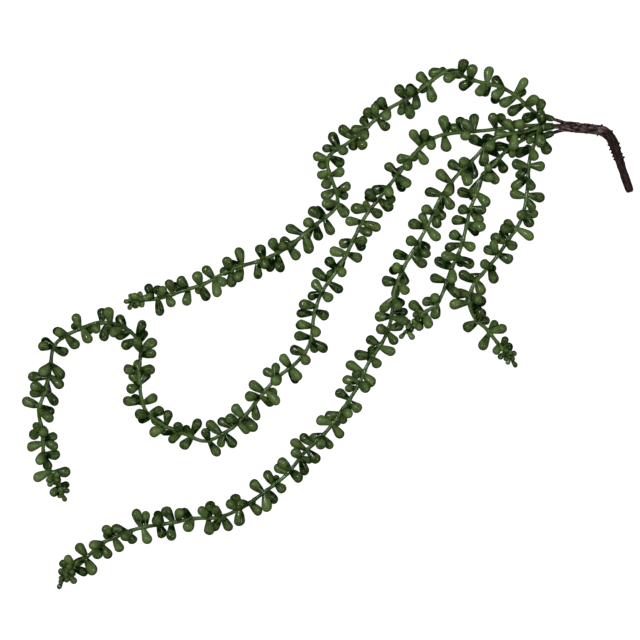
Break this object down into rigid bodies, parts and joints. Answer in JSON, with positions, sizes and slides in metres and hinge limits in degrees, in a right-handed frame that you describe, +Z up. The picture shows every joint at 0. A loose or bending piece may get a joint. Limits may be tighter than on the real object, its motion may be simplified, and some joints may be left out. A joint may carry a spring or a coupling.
{
  "type": "artificial string of pearls spray",
  "caption": "Artificial string of pearls spray, lying flat: a bent brown stem forks into thin branches that carry long strings of club shaped leaves.",
  "frame": {"origin": "middle of the spray's box, on the surface that it lies on", "axes": "+X towards the main stem, so that the tips of the vines are at -X, +Y to its left, and +Z up from the surface"},
  "size_m": [0.4899, 0.4243, 0.0262],
  "materials": {
    "stem_plastic": "dark brown moulded plastic, knobbly like bark, with a dull shine",
    "leaf_plastic": "moulded green plastic, satin, darker at the leaf rims and lighter along the strings",
    "stem_wire": "plain drawn wire, hidden in the stem"
  },
  "bodies": {
    "root": {"main_stem": "stem_plastic", "stem_wire": "stem_wire", "vine_top": "leaf_plastic", "vine_loop": "leaf_plastic", "vine_sweep": "leaf_plastic", "vine_inner": "leaf_plastic", "vine_outer": "leaf_plastic"}
  },
  "joints": []
}
